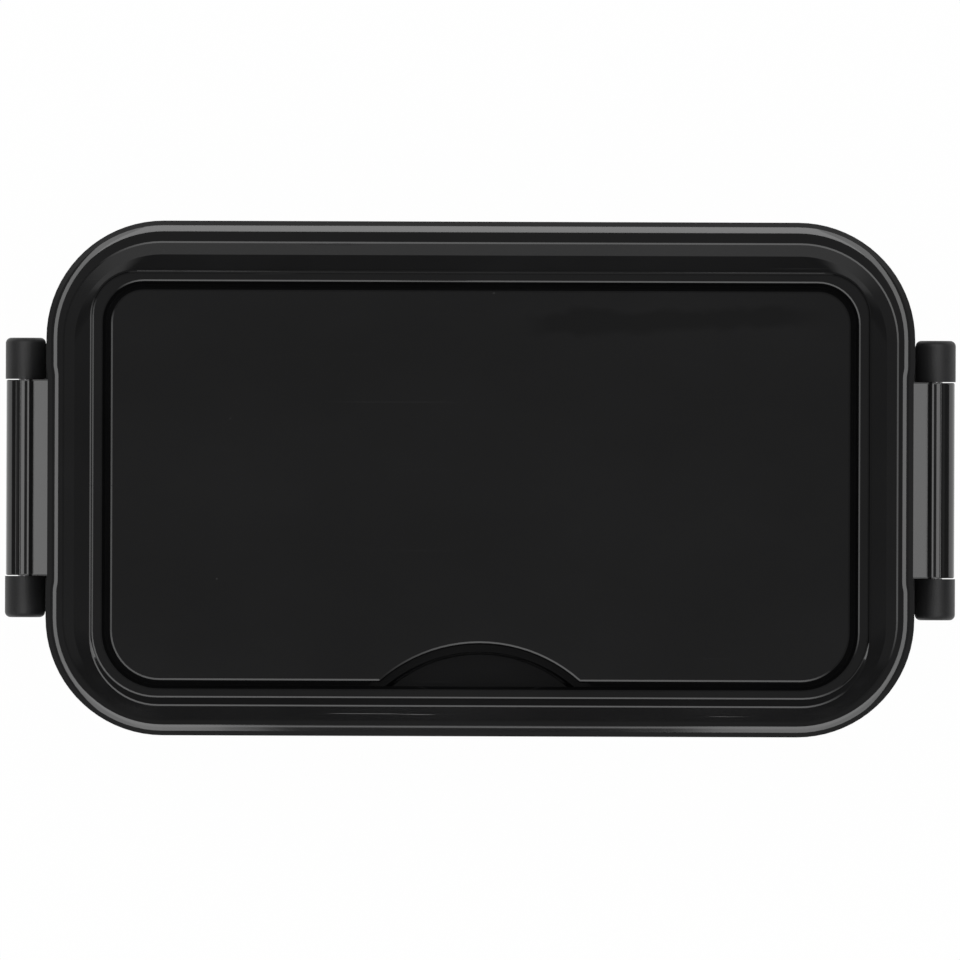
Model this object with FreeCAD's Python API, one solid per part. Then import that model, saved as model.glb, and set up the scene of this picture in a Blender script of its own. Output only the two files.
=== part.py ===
import FreeCAD, Part
import math
import os

V = FreeCAD.Vector
UP = V(0, 0, 1)
ALONG_X = V(1, 0, 0)
ALONG_Y = V(0, 1, 0)
MIDDLE = V(0, 0, 0)

# Driving dimensions, in mm. X is the long side, -Y is the thumb notch side, Z is up from the table.
# An inset is measured inwards from the widest outline of the lid.
LID_LENGTH = 185.0
LID_DEPTH = 109.6
LID_CORNER = 25.0
BASE_HEIGHT = 54.8
WALL_DRAFT = math.tan(math.radians(3.0))

# Base
BASE_RIM_INSET = 3.8
BASE_WALL = 2.0
BASE_FLOOR = 2.2
BASE_EDGE = 4.0
BASE_INNER_EDGE = 3.0
FLANGE_INSET = 1.0
FLANGE_TOP = 47.2
FLANGE_THICKNESS = 2.0
FLANGE_ROUND = 0.5
FOOT_WIDTH = 3.0
FOOT_HEIGHT = 0.8

# Lid: rim, step and shallow trough
RIM_TOP = 59.9
RIM_SLOPE_DROP = 0.75
RIM_SLOPE_INSET = 1.61
RIM_ROUND = 3.1
RIM_UNDERSIDE = 57.0
STEP_BEVEL = 0.35
STEP_BEVEL_DROP = 0.2
STEP_LINE = dict(half_x=89.0, front=-51.6, back=50.4, r_front=21.7, r_back=21.0)
TROUGH_OUTER = 59.5
TROUGH_BEND = 59.3
TROUGH_FLOOR = 59.18
TROUGH_LINE = dict(half_x=86.5, front=-49.53, back=47.6, r_front=18.5, r_back=18.5)

# Lid: walls below the rim
DECK_UNDERSIDE = 56.8
DECK_LAP = 0.5
SKIRT_INSET = 0.8
SKIRT_INNER_INSET = 3.4
SKIRT_BOTTOM = 48.0
SKIRT_ROUND = 0.6
SEAL_RIB_INSET = 6.4
SEAL_RIB_INNER_INSET = 8.0
SEAL_RIB_BOTTOM = 51.0
SEAL_ROUND = 0.4
SCALLOP_DEPTH = 0.3
SCALLOP_HALF = 21.5
SCALLOP_BEND = 6.0

# Raised ring round the cover, in two steps that lie furthest apart on the notch side
RING_STEP = 59.7
RING_STEP_INNER = 59.6
RING_TOP = 60.2
RING_FOOT = dict(half_x=83.2, front=-48.5, back=44.4, r_front=14.8, r_back=10.0)
RING_EDGE = dict(half_x=82.7, front=-46.7, back=43.8, r_front=14.0, r_back=9.2)
RING_BEVEL = 0.3
RING_BEVEL_DROP = 0.17
RING_DRAFT = 0.64

# Cover over the cutlery well
COVER_HALF_X = 78.7
COVER_FRONT = -43.0
COVER_BACK = 40.1
COVER_R_FRONT = 10.5
COVER_R_BACK = 7.0
COVER_TOP = 60.4
COVER_THICKNESS = 2.0
COVER_GAP = 1.2
COVER_BEVEL = 0.35
COVER_BEVEL_DROP = 0.2
COVER_RIB = 1.5
COVER_RIB_DEPTH = 4.0
COVER_RIB_PLAY = 0.35
GROOVE_DEPTH = 0.6
NOTCH_HALF = 21.3
NOTCH_DEPTH = 8.1
NOTCH_CORNER = 0.6

# Cutlery well in the lid
WELL_INSET = 2.3
WELL_WALL = 1.6
WELL_FLOOR = 46.0
SHELF_REACH = 5.0
SHELF_TOP = 54.3
SCOOP_PLAY = 1.0
SCOOP_LOW = 53.85
SCOOP_GROOVE_BACK = -1.7
SCOOP_GROOVE_FRONT = -2.7
SCOOP_GROOVE_DEPTH = 0.8
REST_TOP = 50.6
REST_WIDTH = 2.0
REST_X = (-55.0, 15.0)

# Hinges: knuckles on the base, and pins
PIVOT_X = 97.2
PIVOT_Z = 38.0
KNUCKLE_RADIUS = 4.3
KNUCKLE_INNER = 21.05
KNUCKLE_OUTER = 29.85
KNUCKLE_ROUND = 1.2
ARM_DROP = 2.5 * KNUCKLE_RADIUS
WEB_TOP = 33.4
WEB_THICKNESS = 1.2
WEB_REACH = 1.0
PIN_RADIUS = 1.5
PIN_PLAY = 0.05
PIN_HALF = 29.4
PIN_CHAMFER = 0.3

# Clips: x is measured outwards from the side of the lid
CLIP_HALF = 20.85
CLIP_BARREL = 4.1
CLIP_END_ROUND = 0.3
PLATE_OUTER = 5.0
PLATE_INNER = 3.1
PLATE_INNER_TOP = 52.0
LIP_OUTER = 5.55
LIP_OUTER_TOP = 59.3
LIP_OUTER_LOW = 58.3
LIP_UNDER = 57.6
LIP_CREST = 59.45
LIP_CREST_OUTER = 4.6
LIP_CREST_INNER = 4.0
LIP_INNER = 3.5
LIP_INNER_TOP = 59.35
LIP_ROUND = 0.3
NOSE_TOP_OUTER = 2.8
NOSE_TOP_LOW = 56.2
NOSE_TOP_INNER = -0.3
NOSE_TOP_HIGH = 56.6
NOSE_TIP = -2.2
NOSE_TIP_TOP = 56.3
NOSE_ROOT = 0.6
NOSE_ROUND = 0.4

# Catch faces on the lid, in a pocket behind each clip
CATCH_SLOPE = math.tan(math.radians(20.0))
CATCH_EDGE_Z = 53.7
CATCH_PLAY = 0.35
POCKET_INSET = 2.6
POCKET_HALF = 21.6

# Divider and its guides in the base
DIVIDER_X = 25.0
DIVIDER_THICKNESS = 1.8
DIVIDER_TOP = 43.0
DIVIDER_ROUND = 0.6
DIVIDER_PLAY = 0.3
GUIDE_WIDTH = 1.5
GUIDE_REACH = 1.8
GUIDE_TOP = 41.0

# Cutlery, lying along X on the rests. An outline is half of it, as (x, half width).
CUTLERY_THICKNESS = 2.0
CUTLERY_CORNER = 1.2
SPOON_Y = 22.0
FORK_Y = -3.0
KNIFE_Y = -21.0
HANDLE_OUTLINE = ((-69.0, 3.4), (-66.0, 5.6), (-20.0, 4.4))
HANDLE_NECK = 2.8
FORK_NECK_X = 30.0
FORK_OUTLINE = ((26.0, 2.8), (32.0, 6.0), (40.0, 9.0), (68.0, 8.6))
TINE_GAP = 1.8
TINE_PITCH = 4.6
TINE_ROOT_X = 44.0
TINE_END_X = 70.0
KNIFE_NECK_X = 8.0
KNIFE_OUTLINE = ((4.0, 2.8), (12.0, 6.0), (56.0, 6.2), (66.0, 4.4), (71.0, 2.0))
EDGE_START_X = 12.0
EDGE_END_X = 74.0
EDGE_OUTER = -8.0
EDGE_INNER = -4.0
EDGE_THICKNESS = 0.8
SPOON_NECK_X = 32.0
BOWL_X = 48.0
BOWL_OUTER = (21.0, 13.5, 6.2)
BOWL_INNER = (19.2, 11.7, 4.4)

# Reach of cutting tools past what they cut
PAST = 1.0
CLOSE = 1e-3


def outline(half_x, front, back, z, r_front, r_back):
    corners = (
        (half_x - r_front, front + r_front, r_front, 270),
        (half_x - r_back, back - r_back, r_back, 0),
        (-half_x + r_back, back - r_back, r_back, 90),
        (-half_x + r_front, front + r_front, r_front, 180),
    )
    arcs = [Part.makeCircle(r, V(x, y, z), UP, start, start + 90) for x, y, r, start in corners]
    edges = []
    for arc, following in zip(arcs, arcs[1:] + arcs[:1]):
        start = arc.valueAt(arc.LastParameter)
        end = following.valueAt(following.FirstParameter)
        edges.append(arc)
        edges.append(Part.makeLine(start, end))
    return Part.Wire(edges)


def lid_line(inset, z):
    half_y = LID_DEPTH / 2 - inset
    radius = LID_CORNER - inset
    return outline(LID_LENGTH / 2 - inset, -half_y, half_y, z, radius, radius)


def inset_line(line, inset, z):
    half_x = line["half_x"] - inset
    front = line["front"] + inset
    back = line["back"] - inset
    return outline(half_x, front, back, z, line["r_front"] - inset, line["r_back"] - inset)


def cover_line(inset, z):
    half_x = COVER_HALF_X - inset
    front = COVER_FRONT + inset
    back = COVER_BACK - inset
    return outline(half_x, front, back, z, COVER_R_FRONT - inset, COVER_R_BACK - inset)


def prism(wire, top):
    height = top - wire.BoundBox.ZMin
    return Part.Face(wire).extrude(V(0, 0, height))


def loft(*wires):
    return Part.makeLoft(list(wires), True, True)


def box(x0, x1, y0, y1, z0, z1):
    return Part.makeBox(x1 - x0, y1 - y0, z1 - z0, V(x0, y0, z0))


def side_profile(points, y0, y1):
    corners = [V(x, y0, z) for x, z in points]
    return Part.Face(Part.makePolygon(corners + corners[:1])).extrude(V(0, y1 - y0, 0))


def rod(radius, x, z, y0, y1):
    return Part.makeCylinder(radius, y1 - y0, V(x, y0, z), ALONG_Y)


def edges_where(shape, test):
    return [edge for edge in shape.Edges if test(edge)]


def lies_at(z):
    def test(edge):
        at = edge.BoundBox
        return abs(at.ZMin - z) < CLOSE and abs(at.ZMax - z) < CLOSE
    return test


def rounded(shape, radius, test):
    return shape.makeFillet(radius, edges_where(shape, test))


def bevelled(shape, drop, inset, test):
    return shape.makeChamfer(drop, inset, edges_where(shape, test))


def mirrored(shape):
    return shape.mirror(MIDDLE, ALONG_X)


def wall_inset(z):
    return BASE_RIM_INSET + (BASE_HEIGHT - z) * WALL_DRAFT


def half_moon(reach, z, top, top_reach=None):
    # A disc whose edge is the arc of the thumb notch, grown by the reach
    radius = (NOTCH_HALF ** 2 + NOTCH_DEPTH ** 2) / (2 * NOTCH_DEPTH)
    centre = V(0, COVER_FRONT + NOTCH_DEPTH - radius, z)
    if top_reach is None:
        return Part.makeCylinder(radius + reach, top - z, centre)
    return Part.makeCone(radius + reach, radius + top_reach, top - z, centre)


def scalloped_line(z):
    # The widest outline of the lid, drawn in a little behind each clip
    half_x = LID_LENGTH / 2
    half_y = LID_DEPTH / 2
    straight_x = half_x - LID_CORNER
    straight_y = half_y - LID_CORNER
    run = math.sqrt(4 * SCALLOP_BEND * SCALLOP_DEPTH - SCALLOP_DEPTH ** 2)
    turn = math.asin(run / 2 / SCALLOP_BEND)
    start = V(half_x, -SCALLOP_HALF - run, z)
    end = V(half_x - SCALLOP_DEPTH, -SCALLOP_HALF, z)
    centre_in = start - V(SCALLOP_BEND, 0, 0)
    centre_out = end + V(SCALLOP_BEND, 0, 0)

    def on_in(angle):
        return centre_in + V(math.cos(angle), math.sin(angle), 0) * SCALLOP_BEND

    def on_out(angle):
        return centre_out - V(math.cos(angle), math.sin(angle), 0) * SCALLOP_BEND

    bend = [
        Part.Arc(start, on_in(turn / 2), on_in(turn)).toShape(),
        Part.Arc(on_out(turn), on_out(turn / 2), end).toShape(),
    ]
    right = bend + [edge.mirror(MIDDLE, ALONG_Y) for edge in bend]
    right.append(Part.makeLine(end, V(end.x, -end.y, z)))
    right.append(Part.makeLine(V(half_x, -straight_y, z), start))
    right.append(Part.makeLine(V(half_x, straight_y, z), V(start.x, -start.y, z)))
    left = [mirrored(edge) for edge in right]
    ends = []
    for y in (-half_y, half_y):
        ends.append(Part.makeLine(V(-straight_x, y, z), V(straight_x, y, z)))
    arcs = []
    for x, y, start_angle in ((1, 1, 0), (-1, 1, 90), (-1, -1, 180), (1, -1, 270)):
        centre = V(x * straight_x, y * straight_y, z)
        arcs.append(Part.makeCircle(LID_CORNER, centre, UP, start_angle, start_angle + 90))
    return Part.Wire(Part.__sortEdges__(right + left + ends + arcs))


def make_rim_plate():
    plate = prism(scalloped_line(RIM_UNDERSIDE), RIM_TOP)
    plate = bevelled(plate, RIM_SLOPE_DROP, RIM_SLOPE_INSET, lies_at(RIM_TOP))
    plate = rounded(plate, RIM_ROUND, lies_at(RIM_TOP))
    step = inset_line(STEP_LINE, STEP_BEVEL, TROUGH_OUTER)
    bend = outline(z=TROUGH_BEND, **TROUGH_LINE)
    floor = outline(z=TROUGH_FLOOR, **RING_FOOT)
    bevel_low = inset_line(STEP_LINE, STEP_BEVEL, RIM_TOP - STEP_BEVEL_DROP)
    plate = plate.cut(prism(step, RIM_TOP + PAST))
    plate = plate.cut(loft(bevel_low, outline(z=RIM_TOP, **STEP_LINE)))
    return plate.cut(loft(bend, step)).cut(loft(floor, bend))


def make_ring_step(line, top):
    # A flat-topped solid with its outer edge bevelled
    shoulder = top - RING_BEVEL_DROP
    solid = prism(outline(z=RIM_UNDERSIDE, **line), shoulder)
    return solid.fuse(loft(outline(z=shoulder, **line), inset_line(line, RING_BEVEL, top)))


def make_ring():
    dish = loft(outline(z=RING_STEP_INNER, **RING_EDGE), inset_line(RING_FOOT, RING_BEVEL, RING_STEP))
    foot = make_ring_step(RING_FOOT, RING_STEP).cut(dish)
    ring = foot.fuse(make_ring_step(RING_EDGE, RING_TOP)).removeSplitter()
    return ring.cut(prism(cover_line(-COVER_GAP, RIM_UNDERSIDE - PAST), RING_TOP + PAST))


def make_recess():
    # The space for the cover: its wall is drafted and ends in a bevel on the ring
    ledge = COVER_TOP - COVER_THICKNESS
    shoulder = RING_TOP - RING_BEVEL_DROP
    low = cover_line(-COVER_GAP, ledge)
    high = cover_line(-COVER_GAP - RING_DRAFT, shoulder)
    rim = cover_line(-COVER_GAP - RING_DRAFT - RING_BEVEL, RING_TOP)
    return prism(low, RING_TOP + PAST).fuse([loft(low, high), loft(high, rim)])


def make_well():
    hollow = prism(cover_line(WELL_INSET, WELL_FLOOR), RING_TOP)
    shelf = half_moon(SHELF_REACH, WELL_FLOOR, SHELF_TOP)
    well = prism(cover_line(WELL_INSET - WELL_WALL, WELL_FLOOR - WELL_WALL), RIM_UNDERSIDE)
    well = well.cut(hollow.cut(shelf))
    under_shelf = half_moon(SHELF_REACH - WELL_WALL, WELL_FLOOR - WELL_WALL, SHELF_TOP - WELL_WALL)
    under_shelf = under_shelf.common(prism(cover_line(WELL_INSET, WELL_FLOOR - WELL_WALL), SHELF_TOP))
    well = well.cut(under_shelf)
    inside_shelf = half_moon(SHELF_REACH - WELL_WALL, WELL_FLOOR, REST_TOP)
    for x in REST_X:
        half = REST_WIDTH / 2
        bar = box(x - half, x + half, COVER_FRONT, COVER_BACK, WELL_FLOOR, REST_TOP)
        well = well.fuse(bar.common(hollow).cut(inside_shelf))
    return well


def make_groove():
    # The narrow groove in the ledge, under the gap round the cover
    ledge = COVER_TOP - COVER_THICKNESS
    bottom = cover_line(-COVER_GAP / 2, ledge - GROOVE_DEPTH)
    outer = loft(bottom, cover_line(-COVER_GAP, ledge))
    inner = loft(bottom, cover_line(0, ledge))
    return outer.cut(inner)


def catch_height(outside):
    # The catch face on the lid rises inwards; outside is the distance out from the side of the lid
    return CATCH_EDGE_Z - (outside + SKIRT_INSET) * CATCH_SLOPE


def make_pocket():
    side = LID_LENGTH / 2
    inner = side - POCKET_INSET
    outer = side + PAST
    points = (
        (inner, RIM_UNDERSIDE),
        (outer, RIM_UNDERSIDE),
        (outer, catch_height(PAST)),
        (inner, catch_height(-POCKET_INSET)),
    )
    return side_profile(points, -POCKET_HALF, POCKET_HALF)


def make_scoop():
    # The finger scoop under the thumb notch: its solid, and the space cut out of it and the ledge
    low = SHELF_TOP - WELL_WALL
    solid = prism(cover_line(-COVER_GAP - WELL_WALL, low), RIM_UNDERSIDE)
    solid = solid.common(half_moon(SCOOP_PLAY + WELL_WALL, low, RIM_UNDERSIDE))
    groove_low = SHELF_TOP - SCOOP_GROOVE_DEPTH
    groove_middle = (SCOOP_GROOVE_BACK + SCOOP_GROOVE_FRONT) / 2
    groove = half_moon(groove_middle, groove_low, SHELF_TOP, SCOOP_GROOVE_BACK)
    groove = groove.cut(half_moon(groove_middle, groove_low, SHELF_TOP, SCOOP_GROOVE_FRONT))
    near = COVER_FRONT - COVER_GAP
    far = COVER_FRONT + NOTCH_DEPTH + SCOOP_PLAY
    corners = [V(-COVER_HALF_X, y, z) for y, z in ((near, SHELF_TOP), (far, SCOOP_LOW), (far, SHELF_TOP))]
    fall = Part.Face(Part.makePolygon(corners + corners[:1])).extrude(V(2 * COVER_HALF_X, 0, 0))
    fall = fall.common(half_moon(SCOOP_PLAY, SCOOP_LOW, SHELF_TOP))
    space = half_moon(SCOOP_PLAY, SHELF_TOP, RING_TOP + PAST).fuse([groove, fall])
    space = space.common(prism(cover_line(-COVER_GAP, groove_low), RING_TOP + PAST))
    return solid, space


def make_lid():
    scoop, scoop_space = make_scoop()
    deck_top = RIM_UNDERSIDE + DECK_LAP
    deck = prism(lid_line(SKIRT_INNER_INSET - PAST, DECK_UNDERSIDE), deck_top)
    deck_hole = prism(cover_line(WELL_INSET, DECK_UNDERSIDE - PAST), RING_TOP + PAST)
    skirt = prism(lid_line(SKIRT_INSET, SKIRT_BOTTOM), deck_top)
    skirt = skirt.cut(prism(lid_line(SKIRT_INNER_INSET, SKIRT_BOTTOM), DECK_UNDERSIDE))
    skirt = rounded(skirt, SKIRT_ROUND, lies_at(SKIRT_BOTTOM))
    rib = prism(lid_line(SEAL_RIB_INSET, SEAL_RIB_BOTTOM), DECK_UNDERSIDE)
    rib = rib.cut(prism(lid_line(SEAL_RIB_INNER_INSET, SEAL_RIB_BOTTOM), DECK_UNDERSIDE))
    lid = make_rim_plate().fuse([make_ring(), deck, skirt, rib])
    lid = lid.cut(make_recess()).cut(deck_hole).cut(make_groove())
    lid = lid.fuse([make_well(), scoop]).cut(scoop_space)
    pocket = make_pocket()
    return lid.cut([pocket, mirrored(pocket)]).removeSplitter()


def make_cover():
    bottom = COVER_TOP - COVER_THICKNESS
    plate = prism(cover_line(0, bottom), COVER_TOP)
    plate = plate.cut(half_moon(0, bottom - PAST, COVER_TOP + PAST))

    def notch_corner(edge):
        at = edge.BoundBox
        upright = at.ZLength > COVER_THICKNESS / 2
        return upright and abs(abs(at.XMin) - NOTCH_HALF) < PAST and at.YMin < COVER_FRONT + PAST
    plate = rounded(plate, NOTCH_CORNER, notch_corner)
    plate = bevelled(plate, COVER_BEVEL_DROP, COVER_BEVEL, lies_at(COVER_TOP))
    rib_inset = WELL_INSET + COVER_RIB_PLAY
    rib_low = bottom - COVER_RIB_DEPTH
    rib = prism(cover_line(rib_inset, rib_low), bottom)
    rib = rib.cut(prism(cover_line(rib_inset + COVER_RIB, rib_low), bottom))
    rib = rib.cut(half_moon(SHELF_REACH + PAST, rib_low, bottom))
    return plate.fuse(rib).removeSplitter()


def make_seal():
    ring = prism(lid_line(SKIRT_INNER_INSET, BASE_HEIGHT), DECK_UNDERSIDE)
    ring = ring.cut(prism(lid_line(SEAL_RIB_INSET, BASE_HEIGHT), DECK_UNDERSIDE))
    return rounded(ring, SEAL_ROUND, lies_at(BASE_HEIGHT))


def make_knuckle():
    # One knuckle at the right rear, on an arm that grows out of the wall of the base
    barrel = rod(KNUCKLE_RADIUS, PIVOT_X, PIVOT_Z, KNUCKLE_INNER, KNUCKLE_OUTER)

    def outer_end(edge):
        return abs(edge.BoundBox.YMin - KNUCKLE_OUTER) < CLOSE
    barrel = rounded(barrel, KNUCKLE_ROUND, outer_end)
    root = LID_LENGTH / 2 - wall_inset(PIVOT_Z) - BASE_WALL / 2
    arm_points = (
        (root, PIVOT_Z),
        (PIVOT_X, PIVOT_Z),
        (PIVOT_X, PIVOT_Z - KNUCKLE_RADIUS),
        (root, PIVOT_Z - ARM_DROP),
    )
    arm = side_profile(arm_points, KNUCKLE_INNER, KNUCKLE_OUTER - KNUCKLE_ROUND)
    # A web on the arm, under the end of the clip's barrel
    web_points = (
        (root, WEB_TOP),
        (PIVOT_X, WEB_TOP),
        (PIVOT_X, WEB_TOP - WEB_THICKNESS),
        (root, PIVOT_Z - ARM_DROP),
    )
    web = side_profile(web_points, CLIP_HALF - WEB_REACH, KNUCKLE_INNER + WEB_REACH)
    return barrel.fuse([arm, web])


def make_guides():
    # Two upright ribs on each long wall, with the divider between them
    low = BASE_FLOOR - PAST
    reach = BASE_WALL + GUIDE_REACH
    middle = loft(lid_line(wall_inset(low) + reach, low), lid_line(wall_inset(GUIDE_TOP) + reach, GUIDE_TOP))
    lap = BASE_WALL / 2
    within = loft(lid_line(wall_inset(0) + lap, 0), lid_line(BASE_RIM_INSET + lap, BASE_HEIGHT))
    half_y = LID_DEPTH / 2
    near = DIVIDER_THICKNESS / 2 + DIVIDER_PLAY
    far = near + GUIDE_WIDTH
    guides = []
    for x0, x1 in ((-far, -near), (near, far)):
        bar = box(DIVIDER_X + x0, DIVIDER_X + x1, -half_y, half_y, low, GUIDE_TOP)
        guides.append(bar.common(within).cut(middle))
    return guides


def make_base():
    floor_inset = wall_inset(0)
    outside = loft(lid_line(floor_inset, 0), lid_line(BASE_RIM_INSET, BASE_HEIGHT))
    outside = rounded(outside, BASE_EDGE, lies_at(0))
    inner_floor = lid_line(wall_inset(BASE_FLOOR) + BASE_WALL, BASE_FLOOR)
    inside = loft(inner_floor, lid_line(BASE_RIM_INSET + BASE_WALL, BASE_HEIGHT))
    inside = rounded(inside, BASE_INNER_EDGE, lies_at(BASE_FLOOR))
    flange = prism(lid_line(FLANGE_INSET, FLANGE_TOP - FLANGE_THICKNESS), FLANGE_TOP)
    flange = rounded(flange, FLANGE_ROUND, lambda edge: edge.BoundBox.ZLength < CLOSE)
    hollow = prism(lid_line(floor_inset + BASE_EDGE + FOOT_WIDTH, 0), FOOT_HEIGHT)
    base = outside.fuse(flange).cut(inside).cut(hollow)
    rear = make_knuckle()
    front = rear.mirror(MIDDLE, ALONG_Y)
    base = base.fuse([rear, front, mirrored(rear), mirrored(front)])
    base = base.fuse(make_guides())
    bore = rod(PIN_RADIUS, PIVOT_X, PIVOT_Z, -KNUCKLE_OUTER - PAST, KNUCKLE_OUTER + PAST)
    return base.cut([bore, mirrored(bore)]).removeSplitter()


def make_pin():
    pin = rod(PIN_RADIUS, PIVOT_X, PIVOT_Z, -PIN_HALF, PIN_HALF)
    return pin.makeChamfer(PIN_CHAMFER, edges_where(pin, lambda edge: edge.BoundBox.YLength < CLOSE))


def make_clip():
    # The profile runs up the outside of the plate, over the finger lip, in along the nose and down the inside
    profile = (
        (PLATE_OUTER, PIVOT_Z),
        (PLATE_OUTER, LIP_UNDER),
        (LIP_OUTER, LIP_OUTER_LOW),
        (LIP_OUTER, LIP_OUTER_TOP),
        (LIP_CREST_OUTER, LIP_CREST),
        (LIP_CREST_INNER, LIP_CREST),
        (LIP_INNER, LIP_INNER_TOP),
        (NOSE_TOP_OUTER, NOSE_TOP_LOW),
        (NOSE_TOP_INNER, NOSE_TOP_HIGH),
        (NOSE_TIP, NOSE_TIP_TOP),
        (NOSE_TIP, catch_height(NOSE_TIP) + CATCH_PLAY),
        (NOSE_ROOT, catch_height(NOSE_ROOT) + CATCH_PLAY),
        (PLATE_INNER, PLATE_INNER_TOP),
        (PLATE_INNER, PIVOT_Z),
    )
    side = LID_LENGTH / 2
    clip = side_profile([(side + x, z) for x, z in profile], -CLIP_HALF, CLIP_HALF)

    def runs_at(x):
        def test(edge):
            at = edge.BoundBox
            along = at.YLength > 2 * CLIP_HALF - CLOSE
            return along and abs(at.XMin - side - x) < CLOSE and abs(at.XMax - side - x) < CLOSE
        return test

    def lip_corner(edge):
        return runs_at(LIP_OUTER)(edge) or runs_at(LIP_INNER)(edge)
    clip = rounded(clip, LIP_ROUND, lip_corner)
    clip = rounded(clip, NOSE_ROUND, runs_at(NOSE_TIP))
    clip = clip.fuse(rod(CLIP_BARREL, PIVOT_X, PIVOT_Z, -CLIP_HALF, CLIP_HALF)).removeSplitter()
    clip = rounded(clip, CLIP_END_ROUND, lambda edge: edge.BoundBox.YLength < CLOSE)
    bore = rod(PIN_RADIUS + PIN_PLAY, PIVOT_X, PIVOT_Z, -CLIP_HALF - PAST, CLIP_HALF + PAST)
    return clip.cut(bore)


def make_divider():
    def half_width(z):
        return LID_DEPTH / 2 - wall_inset(z) - BASE_WALL - DIVIDER_PLAY

    low = BASE_FLOOR + BASE_EDGE
    right = [
        V(DIVIDER_X, half_width(BASE_FLOOR) - BASE_EDGE, BASE_FLOOR),
        V(DIVIDER_X, half_width(low), low),
        V(DIVIDER_X, half_width(DIVIDER_TOP), DIVIDER_TOP),
    ]
    left = [V(point.x, -point.y, point.z) for point in reversed(right)]
    face = Part.Face(Part.makePolygon(right + left + right[:1]))
    plate = face.extrude(V(DIVIDER_THICKNESS, 0, 0))
    plate.translate(V(-DIVIDER_THICKNESS / 2, 0, 0))

    def top_edge(edge):
        return lies_at(DIVIDER_TOP)(edge) and edge.BoundBox.YLength > DIVIDER_THICKNESS
    return rounded(plate, DIVIDER_ROUND, top_edge)


def flat_blank(points):
    # A flat piece of cutlery with rounded corners, from half of its outline
    upper = [V(x, y, REST_TOP) for x, y in points]
    lower = [V(x, -y, REST_TOP) for x, y in reversed(points)]
    blank = Part.Face(Part.makePolygon(upper + lower + upper[:1])).extrude(V(0, 0, CUTLERY_THICKNESS))
    return rounded(blank, CUTLERY_CORNER, lambda edge: edge.BoundBox.ZLength > CUTLERY_THICKNESS / 2)


def make_handle(neck_x):
    return flat_blank(HANDLE_OUTLINE + ((neck_x, HANDLE_NECK),))


def make_fork():
    fork = make_handle(FORK_NECK_X).fuse(flat_blank(FORK_OUTLINE))
    low = REST_TOP - PAST
    high = REST_TOP + CUTLERY_THICKNESS + PAST
    half = TINE_GAP / 2
    for slot in (-1, 0, 1):
        y = slot * TINE_PITCH
        gap = box(TINE_ROOT_X, TINE_END_X, y - half, y + half, low, high)
        root = Part.makeCylinder(half, high - low, V(TINE_ROOT_X, y, low))
        fork = fork.cut(gap.fuse(root))
    fork.translate(V(0, FORK_Y, 0))
    return fork.removeSplitter()


def make_knife():
    knife = make_handle(KNIFE_NECK_X).fuse(flat_blank(KNIFE_OUTLINE))
    top = REST_TOP + CUTLERY_THICKNESS
    low = REST_TOP + EDGE_THICKNESS
    thinned = box(EDGE_START_X, EDGE_END_X, EDGE_OUTER, EDGE_INNER, low, top)
    knife = knife.cut(thinned)
    knife.translate(V(0, KNIFE_Y, 0))
    return knife.removeSplitter()


def ellipsoid(centre, radii):
    ball = Part.makeSphere(1.0)
    stretch = FreeCAD.Matrix()
    stretch.scale(*radii)
    ball = ball.transformGeometry(stretch)
    ball.translate(centre)
    return ball


def make_spoon():
    top = REST_TOP + CUTLERY_THICKNESS
    centre = V(BOWL_X, 0, top)
    length, width, depth = BOWL_OUTER
    above = box(BOWL_X - length, BOWL_X + length, -width, width, top, top + depth)
    bowl = ellipsoid(centre, BOWL_OUTER).cut(above)
    spoon = bowl.fuse(make_handle(SPOON_NECK_X))
    spoon = spoon.cut(ellipsoid(centre, BOWL_INNER))
    spoon.translate(V(0, SPOON_Y, 0))
    return spoon.removeSplitter()


def main():
    os.makedirs("parts", exist_ok=True)
    clip = make_clip()
    pin = make_pin()
    parts = {
        "base_box": make_base(),
        "lid": make_lid(),
        "cutlery_cover": make_cover(),
        "lid_seal": make_seal(),
        "clip_right": clip,
        "clip_left": mirrored(clip),
        "hinge_pin_right": pin,
        "hinge_pin_left": mirrored(pin),
        "divider": make_divider(),
        "fork": make_fork(),
        "knife": make_knife(),
        "spoon": make_spoon(),
    }
    for name, shape in parts.items():
        print(name, "valid", shape.isValid(), "solids", len(shape.Solids), "volume", round(shape.Volume, 1))
        shape.exportStep(f"parts/{name}.step")


main()
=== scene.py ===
import math
import bpy
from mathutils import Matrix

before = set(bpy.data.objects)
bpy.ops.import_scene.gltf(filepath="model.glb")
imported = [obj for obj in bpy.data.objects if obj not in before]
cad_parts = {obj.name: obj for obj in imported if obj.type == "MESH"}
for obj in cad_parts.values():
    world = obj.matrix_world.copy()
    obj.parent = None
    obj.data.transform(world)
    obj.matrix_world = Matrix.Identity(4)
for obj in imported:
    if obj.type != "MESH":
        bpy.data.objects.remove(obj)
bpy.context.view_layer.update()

print("lunch box loaded:", sorted(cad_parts))


# small helpers for the finishes

noiseSpan = (0.3, 0.7)
rising, falling = (0.0, 1.0), (1.0, 0.0)
scratchStretch, scratchDetail, scratchSoft = (0.02, 1.0, 0.02), 2.0, 0.04
speckCore, speckRareSoft = 0.5, 0.15


def newFinish(name):
    finish = bpy.data.materials.new(name)
    finish.use_nodes = True
    tree = finish.node_tree
    shader = tree.nodes["Principled BSDF"]
    coords = tree.nodes.new("ShaderNodeTexCoord")
    return finish, tree, shader, coords.outputs["Object"]


def placed(tree, coords, stretch=(1, 1, 1), turn=0.0):
    mapping = tree.nodes.new("ShaderNodeMapping")
    mapping.inputs["Rotation"].default_value = (0, 0, math.radians(turn))
    mapping.inputs["Scale"].default_value = stretch
    tree.links.new(coords, mapping.inputs["Vector"])
    return mapping.outputs["Vector"]


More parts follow.
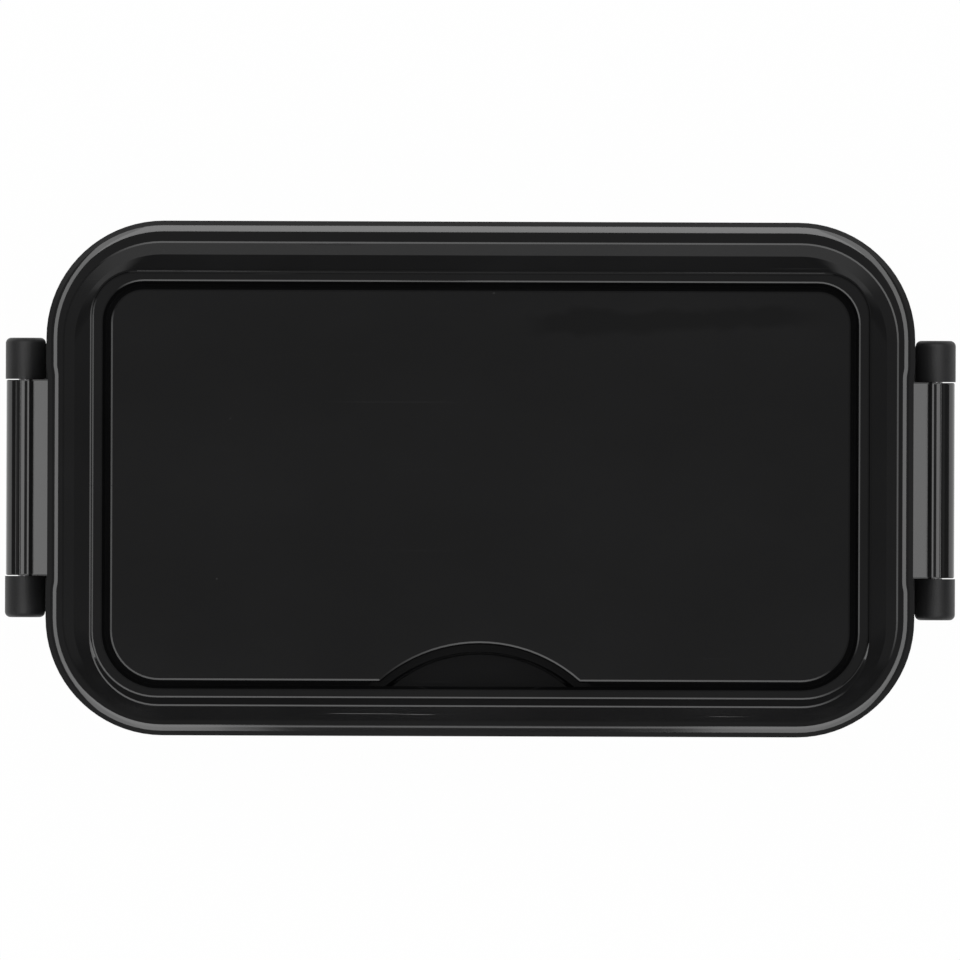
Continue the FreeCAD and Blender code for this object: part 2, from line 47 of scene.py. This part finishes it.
def cloudy(tree, coords, scale, detail, rough=0.55):
    noise = tree.nodes.new("ShaderNodeTexNoise")
    noise.inputs["Scale"].default_value = scale
    noise.inputs["Detail"].default_value = detail
    noise.inputs["Roughness"].default_value = rough
    tree.links.new(coords, noise.inputs["Vector"])
    return noise.outputs["Fac"]


def remap(tree, value, span, result):
    node = tree.nodes.new("ShaderNodeMapRange")
    node.inputs["From Min"].default_value, node.inputs["From Max"].default_value = span
    node.inputs["To Min"].default_value, node.inputs["To Max"].default_value = result
    tree.links.new(value, node.inputs["Value"])
    return node.outputs["Result"]


def combine(tree, how, first, second):
    node = tree.nodes.new("ShaderNodeMath")
    node.operation = how
    for socket, value in zip(node.inputs, (first, second)):
        if isinstance(value, (int, float)):
            socket.default_value = value
        else:
            tree.links.new(value, socket)
    return node.outputs["Value"]


def farFrom(tree, value, middle):
    return combine(tree, "ABSOLUTE", combine(tree, "SUBTRACT", value, middle), 0.0)


def shades(tree, value, look, span=noiseSpan):
    ramp = tree.nodes.new("ShaderNodeValToRGB")
    for step, place, colour in zip(ramp.color_ramp.elements, span, (look["dark"], look["light"])):
        step.position = place
        step.color = (*colour, 1)
    tree.links.new(value, ramp.inputs["Fac"])
    return ramp.outputs["Color"]


def roughness(tree, value, look):
    return remap(tree, value, noiseSpan, (look["roughLow"], look["roughHigh"]))


def bump(tree, shader, height, look):
    node = tree.nodes.new("ShaderNodeBump")
    node.inputs["Strength"].default_value = look["bumpStrength"]
    node.inputs["Distance"].default_value = look["bumpDepth"]
    tree.links.new(height, node.inputs["Height"])
    tree.links.new(node.outputs["Normal"], shader.inputs["Normal"])


def specks(tree, coords, scale, size, rare=0.0):
    cells = tree.nodes.new("ShaderNodeTexVoronoi")
    cells.inputs["Scale"].default_value = scale
    tree.links.new(coords, cells.inputs["Vector"])
    dots = remap(tree, cells.outputs["Distance"], (size * speckCore, size), falling)
    kept = remap(tree, cells.outputs["Color"], (rare, rare + speckRareSoft), rising)
    return combine(tree, "MULTIPLY", dots, kept)


def tinted(tree, colour, tint, amount):
    # the colour sockets of this node share their names with others, so they go by place
    node = tree.nodes.new("ShaderNodeMix")
    node.data_type = "RGBA"
    tree.links.new(amount, node.inputs[0])
    tree.links.new(colour, node.inputs[6])
    node.inputs[7].default_value = (*tint, 1)
    return node.outputs[2]


def scratches(tree, coords, turn, scale, keep):
    fine = cloudy(tree, placed(tree, coords, scratchStretch, turn), scale, scratchDetail)
    return remap(tree, fine, (keep, keep + scratchSoft), rising)


def seenRays(tree):
    rays = tree.nodes.new("ShaderNodeLightPath").outputs
    seen = combine(tree, "MAXIMUM", rays["Is Camera Ray"], rays["Is Glossy Ray"])
    return combine(tree, "MAXIMUM", seen, rays["Is Transmission Ray"])


# polished black plastic: lid, cutlery cover and clips

def wipeMark(tree, coords, mark):
    # a faint dark streak left by wiping, with ragged edges
    split = tree.nodes.new("ShaderNodeSeparateXYZ")
    tree.links.new(placed(tree, coords, turn=mark["turn"]), split.inputs["Vector"])
    clouds = cloudy(tree, coords, mark["raggedScale"], mark["raggedDetail"])
    ragged = remap(tree, clouds, noiseSpan, (-mark["ragged"], mark["ragged"]))
    off = combine(tree, "ADD", farFrom(tree, split.outputs["Y"], mark["y"]), ragged)
    across = remap(tree, off, (mark["half"] * mark["core"], mark["half"] * mark["edge"]), falling)
    start = remap(tree, split.outputs["X"], mark["start"], rising)
    end = remap(tree, split.outputs["X"], mark["end"], falling)
    streak = combine(tree, "MULTIPLY", across, combine(tree, "MULTIPLY", start, end))
    return combine(tree, "MULTIPLY", streak, mark["strength"])


def polishedBlack(name, look):
    finish, tree, shader, coords = newFinish(name)
    leaning = placed(tree, coords, look["hazeStretch"], look["hazeTurn"])
    haze = cloudy(tree, leaning, look["hazeScale"], look["hazeDetail"])
    lines = combine(tree, "MAXIMUM", *(scratches(tree, coords, *one) for one in look["scratchSets"]))
    dust = specks(tree, coords, look["dustScale"], look["dustSize"], look["dustRare"])
    faint = combine(tree, "MULTIPLY", lines, look["scratchTint"])
    colour = shades(tree, combine(tree, "ADD", haze, faint), look, look["toneSpan"])
    colour = tinted(tree, colour, look["dustColour"], combine(tree, "MULTIPLY", dust, look["dustTint"]))
    if look["wiped"]:
        colour = tinted(tree, colour, look["wiped"]["colour"], wipeMark(tree, coords, look["wiped"]))
    tree.links.new(colour, shader.inputs["Base Color"])
    marks = combine(tree, "MULTIPLY", combine(tree, "MAXIMUM", faint, dust), look["markRough"])
    tree.links.new(combine(tree, "ADD", roughness(tree, haze, look), marks), shader.inputs["Roughness"])
    ripple = cloudy(tree, coords, look["rippleScale"], look["rippleDetail"])
    sunk = combine(tree, "MULTIPLY", lines, look["scratchDepth"])
    bump(tree, shader, combine(tree, "SUBTRACT", ripple, sunk), look)
    shader.inputs["IOR"].default_value = look["ior"]
    return finish


lidLook = {
    "dark": (0.0040, 0.0040, 0.0042), "light": (0.0062, 0.0062, 0.0065), "toneSpan": (0.3, 0.75),
    "hazeScale": 26.0, "hazeDetail": 5.0, "hazeStretch": (1.0, 1.6, 1.0), "hazeTurn": 12,
    "roughLow": 0.05, "roughHigh": 0.08, "markRough": 0.12, "ior": 1.7,
    "scratchSets": ((8, 900.0, 0.70), (-31, 720.0, 0.72)), "scratchTint": 0.3, "scratchDepth": 0.25,
    "dustScale": 190.0, "dustSize": 0.035, "dustRare": 0.56,
    "dustColour": (0.030, 0.030, 0.031), "dustTint": 0.7, "wiped": None,
    "rippleScale": 70.0, "rippleDetail": 1.0, "bumpStrength": 0.035, "bumpDepth": 0.0004,
}
coverWipe = {
    "colour": (0.0012, 0.0012, 0.0013), "strength": 0.8, "turn": -2.0,
    "start": (0.010, 0.016), "end": (0.065, 0.077), "y": 0.0325,
    "half": 0.0022, "core": 0.6, "edge": 1.3, "ragged": 0.0012, "raggedScale": 90.0, "raggedDetail": 4.0,
}
coverLook = dict(lidLook, roughLow=0.06, roughHigh=0.10, hazeScale=19.0, dustScale=150.0, wiped=coverWipe)
clipLook = dict(lidLook, roughLow=0.07, roughHigh=0.12, hazeScale=60.0)

lidFinish = polishedBlack("polished_lid", lidLook)
coverFinish = polishedBlack("polished_cover", coverLook)
clipFinish = polishedBlack("polished_clip", clipLook)
print("polished finishes made")


# fine matte mould grain: base, divider and cutlery

def mouldGrain(name, look):
    finish, tree, shader, coords = newFinish(name)
    grain = cloudy(tree, coords, look["grainScale"], look["grainDetail"], look["grainRough"])
    patch = cloudy(tree, coords, look["patchScale"], look["patchDetail"])
    scuffs = scratches(tree, coords, look["scuffTurn"], look["scuffScale"], look["scuffKeep"])
    tone = combine(tree, "ADD", combine(tree, "MULTIPLY", grain, look["grainShare"]),
                   combine(tree, "MULTIPLY", patch, look["patchShare"]))
    tone = combine(tree, "ADD", tone, combine(tree, "MULTIPLY", scuffs, look["scuffShare"]))
    tree.links.new(shades(tree, tone, look, look["toneSpan"]), shader.inputs["Base Color"])
    tree.links.new(roughness(tree, patch, look), shader.inputs["Roughness"])
    bump(tree, shader, grain, look)
    shader.inputs["IOR"].default_value = look["ior"]
    return finish


baseLook = {
    "dark": (0.014, 0.014, 0.0145), "light": (0.024, 0.024, 0.025), "toneSpan": (0.35, 0.75),
    "grainScale": 2600.0, "grainDetail": 2.0, "grainRough": 0.6, "grainShare": 0.4,
    "patchScale": 35.0, "patchDetail": 4.0, "patchShare": 0.6,
    "scuffTurn": 4, "scuffScale": 700.0, "scuffKeep": 0.70, "scuffShare": 0.2,
    "roughLow": 0.46, "roughHigh": 0.56, "bumpStrength": 0.35, "bumpDepth": 0.00012, "ior": 1.5,
}
dividerLook = dict(baseLook, dark=(0.022, 0.022, 0.023), light=(0.034, 0.034, 0.035), grainScale=2200.0)
cutleryLook = dict(baseLook, dark=(0.04, 0.04, 0.042), light=(0.056, 0.056, 0.058), grainScale=3200.0,
                   roughLow=0.30, roughHigh=0.40, bumpStrength=0.2, scuffTurn=0)

baseFinish = mouldGrain("matte_base", baseLook)
dividerFinish = mouldGrain("matte_divider", dividerLook)
cutleryFinish = mouldGrain("satin_cutlery", cutleryLook)
print("matte finishes made")


# soft grey silicone

def softSilicone(name, look):
    finish, tree, shader, coords = newFinish(name)
    cloud = cloudy(tree, coords, look["cloudScale"], look["cloudDetail"])
    dust = specks(tree, coords, look["dustScale"], look["dustSize"])
    tone = combine(tree, "ADD", cloud, combine(tree, "MULTIPLY", dust, look["dustShare"]))
    tree.links.new(shades(tree, tone, look), shader.inputs["Base Color"])
    tree.links.new(roughness(tree, cloud, look), shader.inputs["Roughness"])
    bump(tree, shader, cloudy(tree, coords, look["skinScale"], look["skinDetail"]), look)
    return finish


# drawn stainless wire, lines along the pin

def drawnWire(name, look):
    finish, tree, shader, coords = newFinish(name)
    lines = cloudy(tree, placed(tree, coords, look["lineStretch"]), look["lineScale"], look["lineDetail"])
    tree.links.new(shades(tree, lines, look), shader.inputs["Base Color"])
    tree.links.new(roughness(tree, lines, look), shader.inputs["Roughness"])
    bump(tree, shader, lines, look)
    shader.inputs["Metallic"].default_value = 1.0
    return finish


sealLook = {
    "dark": (0.13, 0.13, 0.13), "light": (0.18, 0.18, 0.178), "cloudScale": 60.0, "cloudDetail": 4.0,
    "dustScale": 700.0, "dustSize": 0.12, "dustShare": 0.3, "skinScale": 1800.0, "skinDetail": 2.0,
    "roughLow": 0.55, "roughHigh": 0.68, "bumpStrength": 0.15, "bumpDepth": 0.0001,
}
pinLook = {
    "dark": (0.46, 0.46, 0.47), "light": (0.62, 0.62, 0.63),
    "lineScale": 4000.0, "lineDetail": 3.0, "lineStretch": (1.0, 0.01, 1.0),
    "roughLow": 0.22, "roughHigh": 0.38, "bumpStrength": 0.2, "bumpDepth": 0.00003,
}
sealFinish = softSilicone("silicone_seal", sealLook)
pinFinish = drawnWire("drawn_pin", pinLook)
print("seal and pin finishes made")

finishOf = {
    "base_box": baseFinish, "lid": lidFinish, "cutlery_cover": coverFinish, "lid_seal": sealFinish,
    "clip_left": clipFinish, "clip_right": clipFinish, "hinge_pin_left": pinFinish,
    "hinge_pin_right": pinFinish, "divider": dividerFinish, "fork": cutleryFinish,
    "knife": cutleryFinish, "spoon": cutleryFinish,
}
for node, finish in finishOf.items():
    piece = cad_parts[node]
    piece.data.materials.clear()
    piece.data.materials.append(finish)
print("finishes on", len(finishOf), "nodes")


# white floor: it glows for the camera and in reflections, and is plain paint for all other light

floorLook = {"size": 14.0, "white": (0.88, 0.88, 0.88), "glow": 0.985}

bpy.ops.object.select_all(action="DESELECT")
bpy.ops.mesh.primitive_plane_add(size=floorLook["size"], location=(0, 0, 0))
floor = bpy.context.object
floor.name = "floor"
floorFinish = bpy.data.materials.new("floor_white")
floorFinish.use_nodes = True
floorTree = floorFinish.node_tree
floorTree.nodes.clear()
floorOut = floorTree.nodes.new("ShaderNodeOutputMaterial")
paint = floorTree.nodes.new("ShaderNodeBsdfDiffuse")
paint.inputs["Color"].default_value = (*floorLook["white"], 1)
glow = floorTree.nodes.new("ShaderNodeEmission")
glow.inputs["Strength"].default_value = 1.0
blend = floorTree.nodes.new("ShaderNodeMixShader")
glowShare = combine(floorTree, "MULTIPLY", seenRays(floorTree), floorLook["glow"])
for source, socket in zip((glowShare, paint.outputs[0], glow.outputs[0]), blend.inputs):
    floorTree.links.new(source, socket)
floorTree.links.new(blend.outputs[0], floorOut.inputs["Surface"])
floor.data.materials.append(floorFinish)
print("floor laid")


# soft boxes hung round the camera's line of sight, which stays dark

softBoxes = {
    "left":       {"x": (-0.62, -0.25), "y": (-0.95, 0.95), "glow": 1.9},
    "right":      {"x": (0.24, 0.66), "y": (-0.95, 0.95), "glow": 1.8},
    "back":       {"x": (-0.25, 0.24), "y": (0.215, 0.95), "glow": 2.7},
    "frontLeft":  {"x": (-0.25, -0.06), "y": (-0.95, -0.17), "glow": 2.2},
    "frontMid":   {"x": (-0.06, 0.055), "y": (-0.36, -0.26), "glow": 1.1},
    "frontRight": {"x": (0.055, 0.24), "y": (-0.95, -0.17), "glow": 2.0},
}
boxHeight = 1.06
for name, spec in softBoxes.items():
    wide, deep = spec["x"][1] - spec["x"][0], spec["y"][1] - spec["y"][0]
    lamp = bpy.data.lights.new(name, "AREA")
    lamp.shape = "RECTANGLE"
    lamp.size, lamp.size_y = wide, deep
    lamp.energy = spec["glow"] * math.pi * wide * deep
    holder = bpy.data.objects.new(name, lamp)
    holder.location = (sum(spec["x"]) / 2, sum(spec["y"]) / 2, boxHeight)
    holder.visible_camera = False
    bpy.context.scene.collection.objects.link(holder)
print("soft boxes:", list(softBoxes))


# a dim room: a pale patch overhead, dark round it, paler towards the notch side and low down,
# with a bright strip low on the left and the notch side
# each edge below is a pair of directions, east, north or up, between which one part fades into the next

roomLook = {
    "overhead": 0.14, "dark": 0.06, "notchSide": 0.33, "walls": 0.20, "backWall": 0.18, "lowWalls": 0.10,
    "strip": 1.6, "stripHeight": 0.512, "stripCore": 0.0256, "stripHalf": 0.032,
}
roomEdges = {
    "patch": (0.9978, 0.9986), "darkRing": (0.9890, 0.9936), "darkBack": (0.08, 0.11), "darkFar": (0.95, 0.97),
    "nearTop": (0.90, 0.96), "notchSide": (-0.09, -0.13), "backWall": (0.2, 0.5), "wallTop": (0.70, 0.76),
    "lowWallTop": (0.54, 0.58), "lightSide": (-0.8, -0.2), "horizon": (-0.02, 0.02),
}
eastShare = 0.75
unlimited = 5.0

room = bpy.data.worlds.new("studio")
bpy.context.scene.world = room
room.use_nodes = True
roomTree = room.node_tree
backdrop = roomTree.nodes["Background"]
heading = roomTree.nodes.new("ShaderNodeTexCoord")
split = roomTree.nodes.new("ShaderNodeSeparateXYZ")
roomTree.links.new(heading.outputs["Generated"], split.inputs["Vector"])
east, north, high = split.outputs["X"], split.outputs["Y"], split.outputs["Z"]


def edge(value, name, result):
    return remap(roomTree, value, roomEdges[name], result)


outside = combine(roomTree, "MULTIPLY", edge(high, "darkRing", falling), edge(north, "darkBack", falling))
outside = combine(roomTree, "MAXIMUM", outside, edge(high, "darkFar", falling))
pale = combine(roomTree, "MAXIMUM", edge(high, "patch", rising), outside)
above = remap(roomTree, pale, rising, (roomLook["dark"], roomLook["overhead"]))

lean = edge(north, "notchSide", (0.0, roomLook["notchSide"]))
lean = combine(roomTree, "MULTIPLY", lean, edge(high, "nearTop", rising))
above = combine(roomTree, "ADD", above, lean)

wall = edge(north, "backWall", (roomLook["walls"], roomLook["walls"] + roomLook["backWall"]))
wall = combine(roomTree, "MULTIPLY", wall, edge(high, "wallTop", falling))
above = combine(roomTree, "MAXIMUM", above, wall)
above = combine(roomTree, "MINIMUM", above, edge(high, "lowWallTop", (roomLook["lowWalls"], unlimited)))

offStrip = farFrom(roomTree, high, roomLook["stripHeight"])
strip = remap(roomTree, offStrip, (roomLook["stripCore"], roomLook["stripHalf"]), (roomLook["strip"], 0.0))
towards = combine(roomTree, "ADD", combine(roomTree, "MULTIPLY", east, eastShare), north)
strip = combine(roomTree, "MULTIPLY", strip, edge(towards, "lightSide", falling))
above = combine(roomTree, "MAXIMUM", above, strip)

white = combine(roomTree, "MULTIPLY", edge(high, "horizon", falling), seenRays(roomTree))
roomTree.links.new(combine(roomTree, "MAXIMUM", above, white), backdrop.inputs["Strength"])
backdrop.inputs["Color"].default_value = (1, 1, 1, 1)
print("room painted")


# camera straight above, turned by the fifth of a degree that the photograph is

cameraLook = {
    "above": 6.0, "rimHeight": 0.058, "across": 0.20444, "at": (-0.000075, -0.00021), "turn": 0.2,
    "sensor": 36.0, "clip": (0.1, 50.0),
}
lens = bpy.data.cameras.new("camera")
lens.sensor_width = cameraLook["sensor"]
lens.lens = cameraLook["sensor"] * cameraLook["above"] / cameraLook["across"]
lens.clip_start, lens.clip_end = cameraLook["clip"]
camera = bpy.data.objects.new("camera", lens)
camera.location = (*cameraLook["at"], cameraLook["rimHeight"] + cameraLook["above"])
camera.rotation_euler = (0, 0, math.radians(cameraLook["turn"]))
bpy.context.scene.collection.objects.link(camera)
bpy.context.scene.camera = camera
bpy.context.scene.view_settings.view_transform = "Standard"
print("camera set")
